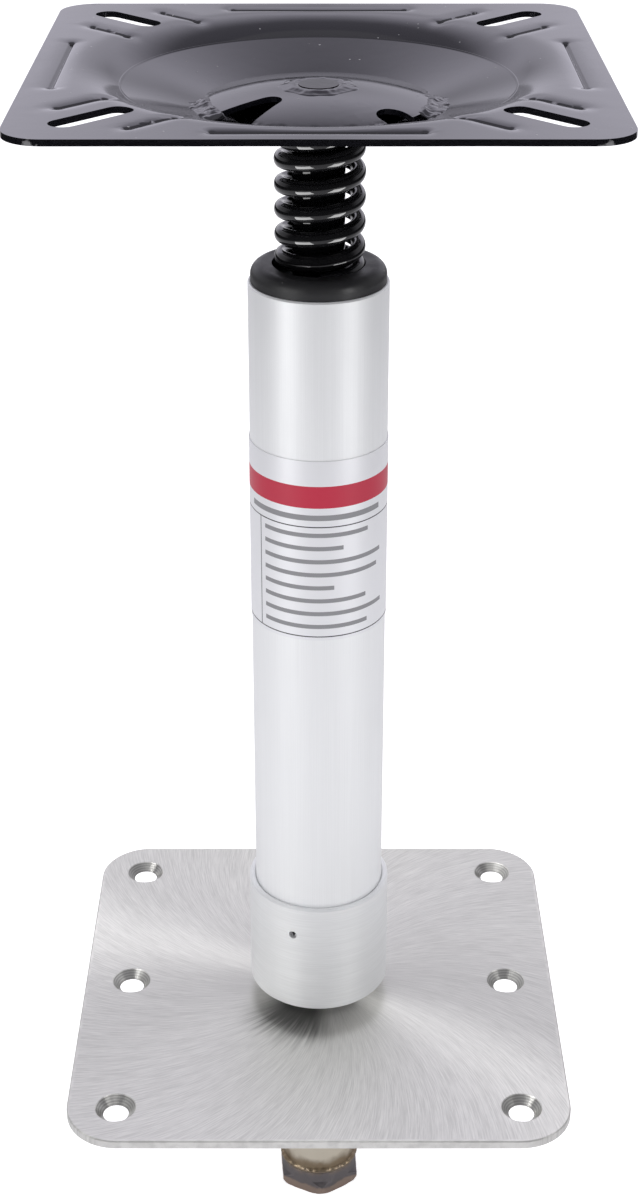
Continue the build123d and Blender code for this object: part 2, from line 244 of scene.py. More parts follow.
# %% [markdown]
# Wall card
#
# The low, grey mirror image in the seat plate is that of a white wall close behind it, which
# is darker in its middle and higher up. A card stands in for that wall. Only gloss surfaces
# see it, and its sides fade into the room, so that no edge of it shows in the paint.


# %% Wall card
def flat_card(name, half, place):
    """A flat square piece of the studio, of a half width, at a place."""
    mesh = bpy.data.meshes.new(name)
    shape = bmesh.new()
    bmesh.ops.create_grid(shape, x_segments=2, y_segments=2, size=half, matrix=place)
    shape.to_mesh(mesh)
    shape.free()
    piece = bpy.data.objects.new(name, mesh)
    scene.collection.objects.link(piece)
    return piece


upright = Matrix.Rotation(radians(90.0), 4, "X")
card = flat_card("wall_card", 0.5, Matrix.Translation((0.0, 0.45, 0.86)) @ upright)
for kind in ("camera", "diffuse", "shadow", "transmission", "volume_scatter"):
    setattr(card, "visible_" + kind, False)
card_finish, paper = new_material("wall_white")
paper_place = add(paper, "SeparateXYZ", {0: add(paper, "TexCoord").outputs["Object"]})
paper_rise = remap(paper, paper_place.outputs["Z"], 0.55, 0.88, 1.06, 0.34)
paper_out = math(paper, "ABSOLUTE", paper_place.outputs["X"])
paper_side = remap(paper, paper_out, 0.0, 0.24, 0.56, 1.28, False)
paper_level = blend(paper, remap(paper, paper_place.outputs["Z"], 0.47, 0.57), paper_side, 1.0)
paper_level = blend(paper, remap(paper, paper_out, 0.22, 0.46), paper_level, 0.68)
paper_glow = add(paper, "Emission", {"Color": (0.985, 0.96, 1.09, 1.0),
                                     "Strength": times(paper, paper_rise, paper_level)})
add(paper, "OutputMaterial", {"Surface": paper_glow.outputs[0]})
card.data.materials.append(card_finish)
print("wall card", tuple(round(value, 2) for value in card.dimensions))

# %% [markdown]
# Floor
#
# The nut hangs below the deck plate, so the floor lies at the nut's lower end. It is a white
# sweep that keeps the soft shadow of the plate, and looks white to the camera elsewhere. The
# white ends some way in front of the object and beside it. The dark studio floor beyond it
# gives the front edge of the seat plate, the coils and the sides of the tube their depth.

# %% Floor
floor_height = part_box("base_nut")[0].z
floor = flat_card("floor", 6.0, Matrix.Translation((0.0, 0.0, floor_height)))
floor_finish, sweep = new_material("floor_white")
sweep_path = add(sweep, "LightPath")
sweep_spot = add(sweep, "TexCoord").outputs["Object"]
sweep_cloud = fractal(sweep, sweep_spot, 3.0, 2.0)
sweep_place = add(sweep, "SeparateXYZ", {0: sweep_spot})
sweep_out = math(sweep, "ABSOLUTE", sweep_place.outputs["X"])
sweep_white = times(sweep, remap(sweep, sweep_place.outputs["Y"], -1.15, -0.75),
                    remap(sweep, sweep_out, 0.65, 1.10, 1.0, 0.0))
sweep_shade = add(sweep, "BsdfDiffuse", {
    "Color": mix_colour(sweep, sweep_white, (0.03, 0.03, 0.03), (0.80, 0.80, 0.80))})
sweep_near = remap(sweep, sweep_cloud, 0.3, 0.7, 0.62, 0.66)
sweep_tone = blend(sweep, sweep_white, 1.0, sweep_near)
sweep_glow = add(sweep, "Emission", {
    "Color": (1.0, 1.0, 1.0, 1.0),
    "Strength": times(sweep, sweep_path.outputs["Is Camera Ray"], sweep_tone)})
sweep_sum = add(sweep, "AddShader", {0: sweep_shade.outputs[0], 1: sweep_glow.outputs[0]})
add(sweep, "OutputMaterial", {"Surface": sweep_sum.outputs[0]})
floor.data.materials.append(floor_finish)
print("floor at", round(floor_height, 4))

# %% [markdown]
# Shared effects
#
# Specks, strokes and cloudy variation come back in almost every finish. Each is a node group
# with named sockets, built once. A group only puts out masks and heights. The shader that
# uses them stays in its own material.


# %% Group helper
def new_group(name, inputs, outputs):
    """An empty node group with named number or vector sockets, and its two end nodes."""
    group = bpy.data.node_groups.new(name, "ShaderNodeTree")
    for label, value in inputs.items():
        kind = "NodeSocketVector" if value is None else "NodeSocketFloat"
        socket = group.interface.new_socket(label, in_out="INPUT", socket_type=kind)
        if value is not None:
            socket.default_value = value
    for label in outputs:
        group.interface.new_socket(label, in_out="OUTPUT", socket_type="NodeSocketFloat")
    return group, group.nodes.new("NodeGroupInput"), group.nodes.new("NodeGroupOutput")


def use(tree, group, inputs):
    """A group placed in a material, with its own values."""
    placed = tree.nodes.new("ShaderNodeGroup")
    placed.node_tree = group
    for label, value in inputs.items():
        join(tree, value, placed.inputs[label])
    return placed.outputs


# %% Specks
specks, ends_in, ends_out = new_group(
    "specks", {"Vector": None, "Per metre": 300.0, "Share": 0.2, "Size": 0.2}, ["Mask"])
cells = add(specks, "TexVoronoi", {"Vector": ends_in.outputs["Vector"],
                                   "Scale": ends_in.outputs["Per metre"]})
pick = add(specks, "SeparateColor", {0: cells.outputs["Color"]})
chosen = math(specks, "LESS_THAN", pick.outputs[0], ends_in.outputs["Share"])
spot_size = times(specks, ends_in.outputs["Size"],
                  plus(specks, pick.outputs[1], 0.35))
near = math(specks, "SUBTRACT", 1.0, math(specks, "DIVIDE", cells.outputs["Distance"], spot_size))
specks.links.new(times(specks, chosen, math(specks, "MAXIMUM", near, 0.0)),
                 ends_out.inputs["Mask"])

# %% Clouds
clouds, ends_in, ends_out = new_group(
    "clouds", {"Vector": None, "Per metre": 20.0, "Contrast": 0.25}, ["Tone"])
fog = fractal(clouds, ends_in.outputs["Vector"], ends_in.outputs["Per metre"], 4.0)
swing = times(clouds, math(clouds, "SUBTRACT", fog, 0.5),
              times(clouds, ends_in.outputs["Contrast"], 4.0))
clouds.links.new(plus(clouds, swing, 1.0), ends_out.inputs["Tone"])

# %% Strokes
strokes, ends_in, ends_out = new_group(
    "strokes", {"Along": 0.0, "Across": 0.0, "Along scale": 8.0, "Across scale": 900.0},
    ["Height", "Tone"])
lane = add(strokes, "CombineXYZ", {
    0: times(strokes, ends_in.outputs["Along"], ends_in.outputs["Along scale"]),
    1: times(strokes, ends_in.outputs["Across"], ends_in.outputs["Across scale"])})
fine = add(strokes, "TexNoise", {"Vector": lane.outputs[0], "Scale": 1.0, "Detail": 3.0,
                                 "Roughness": 0.65})
wide_lane = add(strokes, "VectorMath", {0: lane.outputs[0], 1: (0.25, 0.13, 1.0)},
                operation="MULTIPLY")
wide = fractal(strokes, wide_lane.outputs[0], 1.0, 2.0)
strokes.links.new(fine.outputs[0], ends_out.inputs["Height"])
strokes.links.new(plus(strokes, times(strokes, fine.outputs[0], 0.78),
                       times(strokes, wide, 0.22)), ends_out.inputs["Tone"])

# %% Round place
place, ends_in, ends_out = new_group(
    "round_place", {"Vector": None}, ["Bearing", "Reach", "Height"])
axes = add(place, "SeparateXYZ", {0: ends_in.outputs["Vector"]})
flat = add(place, "CombineXYZ", {0: axes.outputs["X"], 1: axes.outputs["Y"]})
reach = add(place, "VectorMath", {0: flat.outputs[0]}, operation="LENGTH")
place.links.new(math(place, "ARCTAN2", axes.outputs["Y"], axes.outputs["X"]),
                ends_out.inputs["Bearing"])
place.links.new(reach.outputs["Value"], ends_out.inputs["Reach"])
place.links.new(axes.outputs["Z"], ends_out.inputs["Height"])
print("groups", [group.name for group in bpy.data.node_groups])


# %% Finish helper
def new_finish(name, colour, roughness, metallic=0.0, **constants):
    """A material with one Principled shader, its tree, the shader and Object coordinates."""
    material, tree = new_material(name)
    shader = add(tree, "BsdfPrincipled", {
        "Base Color": (*colour, 1.0), "Roughness": roughness, "Metallic": metallic})
    for label, value in constants.items():
        shader.inputs[label.replace("_", " ")].default_value = value
    add(tree, "OutputMaterial", {"Surface": shader.outputs[0]})
    spot = add(tree, "TexCoord").outputs["Object"]
    print("finish", name)
    return material, tree, shader, spot


def bump(tree, shader, height, depth, strength=1.0):
    """Joins a height to the shader's normal through a Bump node of a depth in metres."""
    made = add(tree, "Bump", {"Height": height, "Distance": depth, "Strength": strength})
    tree.links.new(made.outputs["Normal"], shader.inputs["Normal"])
    return made


# %% [markdown]
# Gloss black paint on the pressed parts
#
# The seat plate, its disc and the welds are dipped in thick black enamel. It mirrors the
# white room at a low angle, so it looks grey there. Dust caught in the paint stands out as
# small specks, and the film has the faint ripple of a hand-dipped coat. The two front corners
# are scuffed pale: a distance from each corner, made ragged by noise, is their mask.

# %% Seat paint
enamel, enamel_roughness, scuffed = (0.006, 0.006, 0.008), 0.10, (0.26, 0.26, 0.255)
seat_paint, tree, shader, spot = new_finish(
    "seat_paint", enamel, enamel_roughness, IOR=1.8, Specular_Tint=(0.95, 0.93, 1.0, 1.0))
cloud = use(tree, clouds, {"Vector": spot, "Per metre": 28.0, "Contrast": 0.5})
dust = use(tree, specks, {"Vector": spot, "Per metre": 300.0, "Share": 0.16, "Size": 0.10})
nibs = use(tree, specks, {"Vector": spot, "Per metre": 420.0, "Share": 0.04, "Size": 0.12})
spot_axes = add(tree, "SeparateXYZ", {0: spot})
corner_spot = add(tree, "CombineXYZ", {0: math(tree, "ABSOLUTE", spot_axes.outputs["X"]),
                                       1: spot_axes.outputs["Y"], 2: spot_axes.outputs["Z"]})
scuff_place = (0.0795, -0.0889, 0.3530)
to_corner = add(tree, "VectorMath", {0: corner_spot.outputs[0], 1: scuff_place},
                operation="DISTANCE")
flakes = fractal(tree, spot, 520.0, 3.0)
worn = remap(tree, plus(tree, to_corner.outputs["Value"],
                        times(tree, flakes, 0.007)), 0.0048, 0.0062, 1.0, 0.0)
tree.links.new(plus(tree, times(tree, cloud["Tone"], enamel_roughness),
                    times(tree, worn, 0.4), clamp=True), shader.inputs["Roughness"])
pale = math(tree, "MAXIMUM", times(tree, dust["Mask"], 2.0, clamp=True), worn)
tree.links.new(mix_colour(tree, pale, enamel, scuffed), shader.inputs["Base Color"])
peel = fractal(tree, spot, 160.0, 1.0)
paint_height = plus(tree, times(tree, peel, 0.25),
                    plus(tree, nibs["Mask"], times(tree, dust["Mask"], 1.5)))
rough_height = plus(tree, paint_height, times(tree, flakes, worn))
bump(tree, shader, rough_height, 0.00012, 0.6)

# %% [markdown]
# Spring paint and cap plastic
#
# The spring's paint is thicker and smoother than the plate's, so its lamp marks are sharp. Its
# roughness only wanders a little. The cap is moulded plastic: dull, finely grained, and dusty
# in places, which specks and a cloudy roughness give.

# %% Spring paint
spring_roughness = 0.035
spring_paint, tree, shader, spot = new_finish(
    "spring_paint", (0.004, 0.004, 0.0045), spring_roughness, IOR=1.47)
ripple = fractal(tree, spot, 210.0, 1.5)
cloud = use(tree, clouds, {"Vector": spot, "Per metre": 90.0, "Contrast": 0.6})
tree.links.new(times(tree, cloud["Tone"], spring_roughness, clamp=True),
               shader.inputs["Roughness"])
bump(tree, shader, ripple, 0.00012, 0.4)

# %% Cap plastic
moulded, moulded_roughness, dust_grey = (0.018, 0.018, 0.019), 0.42, (0.20, 0.20, 0.19)
cap_plastic, tree, shader, spot = new_finish(
    "cap_plastic", moulded, moulded_roughness, Specular_IOR_Level=0.45)
cloud = use(tree, clouds, {"Vector": spot, "Per metre": 120.0, "Contrast": 0.35})
dust = use(tree, specks, {"Vector": spot, "Per metre": 520.0, "Share": 0.10, "Size": 0.16})
dusted = times(tree, dust["Mask"], 1.4, clamp=True)
tree.links.new(mix_colour(tree, dusted, moulded, dust_grey), shader.inputs["Base Color"])
tree.links.new(times(tree, cloud["Tone"], moulded_roughness, clamp=True),
               shader.inputs["Roughness"])
grain = fractal(tree, spot, 2600.0, 2.0)
bump(tree, shader, grain, 0.00008, 0.5)

# %% [markdown]
# Satin aluminium
#
# The tube is drawn, so its faint lines run along it. The collar is turned on a lathe, so its
# lines run round it. Both are etched to a pale satin. A metallic value of about a half keeps
# them light where nothing bright stands in the room to be mirrored.

# %% Post aluminium
post_metal, post_roughness = (0.86, 0.87, 0.87), 0.46
post_aluminium, tree, shader, spot = new_finish("post_aluminium", post_metal, post_roughness, 0.45)
where = use(tree, place, {"Vector": spot})
lines = use(tree, strokes, {"Along": where["Height"], "Across": where["Bearing"],
                            "Along scale": 14.0, "Across scale": 95.0})
cloud = use(tree, clouds, {"Vector": spot, "Per metre": 45.0, "Contrast": 0.12})
tone = remap(tree, lines["Tone"], 0.3, 0.7, 0.97, 1.02)
tree.links.new(toned(tree, post_metal, tone), shader.inputs["Base Color"])
tree.links.new(times(tree, cloud["Tone"], post_roughness, clamp=True),
               shader.inputs["Roughness"])
bump(tree, shader, lines["Height"], 0.00002, 0.35)

# %% Collar aluminium
collar_metal = (0.83, 0.84, 0.84)
collar_aluminium, tree, shader, spot = new_finish("collar_aluminium", collar_metal, 0.48, 0.55)
where = use(tree, place, {"Vector": spot})
lines = use(tree, strokes, {"Along": where["Bearing"], "Across": where["Height"],
                            "Along scale": 1.3, "Across scale": 2300.0})
tone = remap(tree, lines["Tone"], 0.3, 0.7, 0.95, 1.03)
tree.links.new(toned(tree, collar_metal, tone), shader.inputs["Base Color"])
bump(tree, shader, lines["Height"], 0.00003, 0.4)

# %% [markdown]
# Brushed deck plate
#
# The stainless plate was brushed outwards from the socket, so its strokes run like spokes and
# its mirror image spreads across them: that makes the two bright fans. The countersinks keep
# rings from the cutter on a darker tone, which is painted shade in the hollow. The broken edges
# are painted lighter, a painted highlight, and a dark patch with ragged spokes at the foot is
# painted shade.

# %% Base steel
stainless = (0.645, 0.64, 0.615)
base_steel, tree, shader, spot = new_finish("base_steel", stainless, 0.34, 0.8, Anisotropic=0.9)
where = use(tree, place, {"Vector": spot})
bow = plus(tree, where["Bearing"], times(tree, where["Reach"], 5.5))
lines = use(tree, strokes, {"Along": where["Reach"], "Across": bow,
                            "Along scale": 105.0, "Across scale": 170.0})
tone = remap(tree, lines["Tone"], 0.30, 0.70, 0.84, 1.13)
spot_axes = add(tree, "SeparateXYZ", {0: spot})
across = math(tree, "ABSOLUTE", spot_axes.outputs["X"])
deep = math(tree, "ABSOLUTE", spot_axes.outputs["Y"])
side_spot = add(tree, "CombineXYZ", {0: across, 1: deep})
pitch, sink_reach = 0.0715, 0.00695
corner_hole = add(tree, "VectorMath", {0: side_spot.outputs[0], 1: (pitch, pitch, 0.0)},
                  operation="DISTANCE")
middle_hole = add(tree, "VectorMath", {0: side_spot.outputs[0], 1: (pitch, 0.0, 0.0)},
                  operation="DISTANCE")
to_hole = math(tree, "MINIMUM", corner_hole.outputs["Value"], middle_hole.outputs["Value"])
# Countersinks: rings from the cutter, on a darker tone that is painted shade in the hollow.
cutter = math(tree, "SINE", times(tree, to_hole, 9000.0))
sink = math(tree, "LESS_THAN", to_hole, sink_reach)
sink_rings_and_shade = plus(tree, 0.62, times(tree, cutter, 0.14))
tone = blend(tree, sink, tone, sink_rings_and_shade)
# The outer edges are painted lighter, made ragged by noise: a painted highlight along the edge.
ragged = fractal(tree, spot, 240.0, 4.0)
rim = remap(tree, math(tree, "MAXIMUM", across, deep), 0.0872, 0.0884)
tone = blend(tree, rim, tone, remap(tree, ragged, 0.35, 0.65, 0.98, 1.16))
# Painted shade: a dark patch with ragged spokes at the collar's foot, on its front-left side.
spoke_place = add(tree, "CombineXYZ", {0: times(tree, bow, 22.0),
                                       1: times(tree, where["Reach"], 30.0)})
spokes = fractal(tree, spoke_place.outputs[0], 1.0, 3.0)
foot_reach = plus(tree, where["Reach"], times(tree, spokes, 0.024))
foot = remap(tree, foot_reach, 0.036, 0.054, 1.0, 0.0)
foot_side = times(tree, remap(tree, where["Bearing"], -2.8, -2.2),
                  remap(tree, where["Bearing"], -1.70, -1.30, 1.0, 0.0))
painted_foot_shade = times(tree, times(tree, foot, foot_side), 0.72)
tone = times(tree, tone, math(tree, "SUBTRACT", 1.0, painted_foot_shade))
tree.links.new(toned(tree, stainless, tone), shader.inputs["Base Color"])
spread = add(tree, "Tangent", direction_type="RADIAL", axis="Z")
tree.links.new(spread.outputs[0], shader.inputs["Tangent"])
bump(tree, shader, lines["Height"], 0.00006, 0.5)

# %% [markdown]
# Socket and stub steel
#
# The socket and its nut are plain steel. Welding heat tints them: straw away from the bead,
# brown and blue next to it. The height, made uneven by a cloud, picks the colour. The stub and
# the small pins are turned bright, with fine rings.

# %% Socket steel
socket_steel, tree, shader, spot = new_finish(
    "socket_steel", (0.50, 0.46, 0.42), 0.38, 1.0)
where = use(tree, place, {"Vector": spot})
cloud = use(tree, clouds, {"Vector": spot, "Per metre": 160.0, "Contrast": 0.5})
uneven = plus(tree, where["Height"], times(tree, cloud["Tone"], 0.003))
blue_brown = mix_colour(tree, remap(tree, uneven, -0.0790, -0.0745),
                        (0.20, 0.185, 0.19), (0.32, 0.25, 0.17))
straw = mix_colour(tree, remap(tree, uneven, -0.0730, -0.0680), blue_brown, (0.78, 0.72, 0.60))
tinted = mix_colour(tree, remap(tree, uneven, -0.0835, -0.0820), (0.40, 0.31, 0.26), straw)
tree.links.new(tinted, shader.inputs["Base Color"])
bump(tree, shader, cloud["Tone"], 0.0001, 0.4)

# %% Stub and pin steel
stub_steel, tree, shader, spot = new_finish("stub_steel", (0.55, 0.55, 0.56), 0.32, 1.0)
where = use(tree, place, {"Vector": spot})
lines = use(tree, strokes, {"Along": where["Bearing"], "Across": where["Height"],
                            "Along scale": 1.5, "Across scale": 1500.0})
tree.links.new(remap(tree, lines["Tone"], 0.3, 0.7, 0.26, 0.40), shader.inputs["Roughness"])
bump(tree, shader, lines["Height"], 0.00003, 0.4)

# %% [markdown]
# Label film
#
# The label is printed silver film. It is generic here: a red band, thin ruled lines and plain
# grey bars where small print would be. Bearing and height round the tube place each of them.

# %% Label film
film, red, ink = (0.82, 0.825, 0.84), (0.47, 0.02, 0.05), (0.03, 0.03, 0.035)
label_film, tree, shader, spot = new_finish("label_film", film, 0.40, 0.5)
where = use(tree, place, {"Vector": spot})


def between(tree, value, low, high):
    """1 where the value lies between two limits."""
    return times(tree, math(tree, "GREATER_THAN", value, low),
                 math(tree, "LESS_THAN", value, high))


band = between(tree, where["Height"], 0.2133, 0.2212)
rules = plus(tree, between(tree, where["Height"], 0.2062, 0.2066),
             between(tree, where["Height"], 0.1650, 0.1654))
divider = times(tree, between(tree, where["Bearing"], -2.547, -2.531),
                between(tree, where["Height"], 0.1652, 0.2064))
line_place = math(tree, "DIVIDE", math(tree, "SUBTRACT", 0.2062, where["Height"]), 0.0049)
line_number = math(tree, "FLOOR", line_place)
line_length = add(tree, "TexWhiteNoise", {"W": line_number}, noise_dimensions="1D").outputs["Value"]
line_end = plus(tree, -1.35, times(tree, line_length, 0.95))
in_line = between(tree, math(tree, "FRACT", line_place), 0.42, 0.74)
in_field = times(tree, between(tree, where["Height"], 0.1672, 0.2060),
                 times(tree, math(tree, "GREATER_THAN", where["Bearing"], -2.44),
                       math(tree, "LESS_THAN", where["Bearing"], line_end)))
title = times(tree, between(tree, where["Height"], 0.2088, 0.2108),
              between(tree, where["Bearing"], -2.75, -0.55))
bars = plus(tree, times(tree, in_line, in_field), title)
ink_share = 0.72
print_mask = math(tree, "MAXIMUM", plus(tree, rules, divider), times(tree, bars, ink_share),
                  clamp=True)
silver = mix_colour(tree, band, film, red)
tree.links.new(mix_colour(tree, print_mask, silver, ink), shader.inputs["Base Color"])
tree.links.new(remap(tree, math(tree, "MAXIMUM", band, print_mask), 0.0, 1.0, 0.5, 0.0),
               shader.inputs["Metallic"])
print("finishes", len(bpy.data.materials))

# %% [markdown]
# Piece helpers
#
# Pressed and welded pieces start from a line that is spun round the post. Holes and rims with a
# rounded outline are cut with a row of planes, one along each short side of the outline, which
# keeps the sheet's own rings and costs less than a boolean.


# %% Piece helpers
def turned(outline, steps, closed=False, start=0.0, sweep=tau):
    """A line of (reach, height) points spun round the post, from a bearing through a sweep."""
    shape = bmesh.new()
    turn = Matrix.Rotation(start, 4, "Z")
    line = [shape.verts.new(turn @ Vector((reach, 0.0, height))) for reach, height in outline]
    pairs = list(zip(line, line[1:])) + ([(line[-1], line[0])] if closed else [])
    sides = [shape.edges.new(pair) for pair in pairs]
    bmesh.ops.spin(shape, geom=line + sides, cent=(0.0, 0.0, 0.0), axis=(0.0, 0.0, 1.0),
                   angle=sweep, steps=steps, use_merge=sweep == tau)
    return shape


def arc(centre, radius, first, last, count):
    """Points on an arc about a centre, between two bearings in degrees."""
    bearings = [radians(first + (last - first) * index / count) for index in range(count + 1)]
    return [centre + Vector((radius * cos(b), radius * sin(b), 0.0)) for b in bearings]


def planes_along(corners):
    """For each side of an outline that runs anticlockwise: a point on it and its outward way."""
    for first, second in zip(corners, corners[1:] + corners[:1]):
        if (second - first).length > 1e-7:
            yield first, Vector((second.y - first.y, first.x - second.x, 0.0)).normalized()


def trim_to(shape, corners, clear_of):
    """Cuts a sheet to a convex outline. Nothing nearer the post than clear_of is touched."""
    for point, outward in planes_along(corners):
        geom = [v for v in shape.verts if v.co.xy.length > clear_of]
        geom += [e for e in shape.edges if all(v.co.xy.length > clear_of for v in e.verts)]
        geom += [f for f in shape.faces if all(v.co.xy.length > clear_of for v in f.verts)]
        bmesh.ops.bisect_plane(shape, geom=geom, dist=1e-8, plane_co=point, plane_no=outward,
                               clear_outer=True)


def cut_hole(shape, corners):
    """Cuts a convex outline out of a sheet."""
    middle = sum(corners, Vector()) / len(corners)
    span = max((corner - middle).length for corner in corners) + 0.004
    inside = [f for f in shape.faces if (f.calc_center_median() - middle).xy.length < span]
    for point, outward in planes_along(corners):
        around = [e for f in inside for e in f.edges] + [v for f in inside for v in f.verts]
        cut = bmesh.ops.bisect_plane(shape, geom=inside + list(dict.fromkeys(around)), dist=1e-8,
                                     plane_co=point, plane_no=outward)["geom"]
        inside = [f for f in cut if isinstance(f, bmesh.types.BMFace)
                  and (f.calc_center_median() - point).dot(outward) < 0.0]
    bmesh.ops.delete(shape, geom=inside, context="FACES")


def ready_solid(shape, merge=1e-6):
    """Merges doubles and turns the faces of a closed shape outwards."""
    bmesh.ops.remove_doubles(shape, verts=shape.verts, dist=merge)
    bmesh.ops.recalc_face_normals(shape, faces=shape.faces)


def ready_sheet(shape, merge):
    """Merges doubles and turns the faces of an open sheet so that they look up."""
    ready_solid(shape, merge)
    if sum(face.normal.z * face.calc_area() for face in shape.faces) < 0.0:
        bmesh.ops.reverse_faces(shape, faces=shape.faces)


def round_edges(shape, edges, width):
    """Rounds some edges to a width."""
    bmesh.ops.bevel(shape, geom=edges, offset=width, segments=2, profile=0.5, affect="EDGES",
                    material=-1, clamp_overlap=True)


def thicken(shape, thickness, break_width):
    """Gives a sheet its thickness downwards, and rounds the upper edges of rims and holes."""
    bmesh.ops.solidify(shape, geom=list(shape.faces), thickness=thickness)
    shape.normal_update()
    sharp = [edge for edge in shape.edges if len(edge.link_faces) == 2
             and max(face.normal.z for face in edge.link_faces) > 0.85
             and abs(min((face.normal.z for face in edge.link_faces), key=abs)) < 0.35]
    round_edges(shape, sharp, break_width)
    return len(sharp)


def finish_piece(name, shape, body, finish, sharp_angle=50.0):
    """Makes the object, which rides on a body and takes the finish of a material slot."""
    mesh = bpy.data.meshes.new(name)
    shape.to_mesh(mesh)
    shape.free()
    mesh.shade_smooth()
    mesh.set_sharp_from_angle(angle=radians(sharp_angle))
    mesh.materials.append(finish)
    piece = bpy.data.objects.new(name, mesh)
    scene.collection.objects.link(piece)
    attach(piece, body)
    print(name, "triangles", sum(len(face.vertices) - 2 for face in mesh.polygons))
    return piece


# %% [markdown]
# Pressed seat plate
#
# A square steel sheet is pressed into a dish: a rolled shoulder, a crisp rim, a cone and a
# small flat floor. Twelve beads stiffen it, and four slots take the seat's bolts. The upper
# face is spun with its rings where the sheet bends, trimmed to the rounded square, cut for
# the slots and made finer along the beads only. The sheet gets its thickness last.

# %% Dish section
seat_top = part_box("seat_plate")[1].z
seat_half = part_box("seat_plate")[1].x
dish_reach, rim_reach, floor_reach = 0.080, 0.062, 0.027
rim_depth, floor_depth, sheet = 0.0055, 0.0158, 0.002
roll_radius = ((dish_reach - rim_reach) ** 2 + rim_depth ** 2) / (2.0 * rim_depth)
cone_slope = (floor_depth - rim_depth) / (rim_reach - floor_reach)


def dish_depth(reach):
    """How far the pressed sheet lies below the seat face, at a distance from the axis."""
    if reach >= dish_reach:
        return 0.0
    if reach >= rim_reach:
        return roll_radius - sqrt(roll_radius ** 2 - (dish_reach - reach) ** 2)
    return min(rim_depth + cone_slope * (rim_reach - reach), floor_depth)


rings = [0.0065, 0.012, 0.020, 0.0262, 0.027, 0.0278, 0.031, 0.035, 0.038, 0.042, 0.046,
         0.050, 0.054, 0.058, 0.0603, 0.0612, 0.06175, 0.0620, 0.06225, 0.0629, 0.0645,
         0.0665, 0.0685, 0.0705, 0.0725, 0.0745, 0.0765, 0.0782, 0.080, 0.0818, 0.084,
         0.0865, 0.089, 0.092, 0.0955, 0.099, 0.103, 0.107, 0.111, 0.115, 0.119, 0.122]
ridge = 0.00016
dish_line = [(reach, seat_top - dish_depth(reach) + ridge * (reach == rim_reach))
             for reach in rings]
plate = turned(dish_line, 312)
print("dish rings", len(rings), "faces", len(plate.faces))

# %% Seat outline and slots
corner_radius = 0.0125
corner_place = seat_half - corner_radius
seat_outline = []
for quarter in range(4):
    turn = Matrix.Rotation(radians(90.0 * quarter), 3, "Z")
    corner = turn @ Vector((corner_place, corner_place, 0.0))
    seat_outline += arc(corner, corner_radius, 90.0 * quarter, 90.0 * quarter + 90.0, 10)
trim_to(plate, seat_outline, 0.0825)
slot_inset, slot_half, slot_radius = 0.0243, 0.0102, 0.0044
slot_reach = (seat_half - slot_inset) * sqrt(2.0)
slot_outline = arc(Vector((slot_reach + slot_half, 0.0, 0.0)), slot_radius, -90.0, 90.0, 10)
slot_outline += arc(Vector((slot_reach - slot_half, 0.0, 0.0)), slot_radius, 90.0, 270.0, 10)
for quarter in range(4):
    turn = Matrix.Rotation(radians(45.0 + 90.0 * quarter), 3, "Z")
    cut_hole(plate, [turn @ corner for corner in slot_outline])
ready_sheet(plate, 0.00006)
print("faces with slots", len(plate.faces))

# %% [markdown]
# Beads
#
# A bead is a shallow channel whose sides meet in a narrow groove, with a small pit where the
# tool's line ends. Subdividing the whole sheet would be wasteful, so the faces near a bead are
# split three times, and once more at its ends. Each vertex then goes down by its distance from
# the nearest line.

# %% Beads
edge_bead_inset, edge_bead_half = 0.0089, 0.0295
slot_bead_side, slot_bead_half, slot_bead_back = 0.0155, 0.0089, 0.0090
beads = []
for quarter in range(4):
    turn = Matrix.Rotation(radians(90.0 * quarter), 3, "Z")
    line = seat_half - edge_bead_inset
    beads.append(tuple(turn @ Vector((way, line, 0.0))
                       for way in (-edge_bead_half, edge_bead_half)))
    turn = Matrix.Rotation(radians(45.0 + 90.0 * quarter), 3, "Z")
    for side in (-slot_bead_side, slot_bead_side):
        beads.append(tuple(turn @ Vector((slot_reach - slot_bead_back + way, side, 0.0))
                           for way in (-slot_bead_half, slot_bead_half)))


def bead_distance(point):
    """Distance, seen from above, from the middle line of the nearest bead."""
    if point.xy.length < 0.066:
        return 1.0
    return min(off_line(point.xy, first.xy, second.xy) for first, second in beads)


def end_distance(point):
    """Distance, seen from above, from the nearest end of a bead."""
    return min((point.xy - end.xy).length for bead in beads for end in bead)


def off_line(point, first, second):
    """Distance of a point from the line between two others."""
    along = second - first
    share = min(max((point - first).dot(along) / along.length_squared, 0.0), 1.0)
    return (point - first - along * share).length


def swell(distance, width):
    """A smooth hill, 1 on its middle line and 0 from its width on."""
    return 0.5 + 0.5 * cos(pi * min(distance / width, 1.0))


for width, end_width in ((0.0064, 1.0), (0.0030, 1.0), (0.0017, 1.0), (0.0013, 0.0013)):
    close = {vert for vert in plate.verts
             if bead_distance(vert.co) < width and end_distance(vert.co) < end_width}
    fine = [edge for edge in plate.edges if edge.verts[0] in close and edge.verts[1] in close]
    bmesh.ops.subdivide_edges(plate, edges=fine, cuts=1, use_grid_fill=True)
for vert in plate.verts:
    distance = bead_distance(vert.co)
    dent = 0.5 + 0.5 * noise.noise(vert.co * 34.0)
    soft = 0.0009 * max(1.0 - distance / 0.0060, 0.0) ** 2
    pit = 0.0006 * swell(end_distance(vert.co), 0.0015) if distance < 0.0016 else 0.0
    vert.co.z -= soft + 0.00045 * swell(distance, 0.0009) + pit + 0.00010 * dent
print("bead lines", len(beads), "faces", len(plate.faces))

# %% [markdown]
# Seat sheet
#
# The sheet grows downwards to its thickness, and the upper edges of its rim and slots are
# rounded. Those narrow rounds are shaded flat. If they were shaded smooth, they would bend the
# mirror image in the wide faces beside them.

# %% Seat sheet
edge_round, flat_round_angle = 0.0004, 28.0
rounded = thicken(plate, sheet, edge_round)
seat_plate = finish_piece("seat_plate_pressed", plate, "seat", seat_paint,
                          flat_round_angle)
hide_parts("seat_plate")
print("rounded edges", rounded)

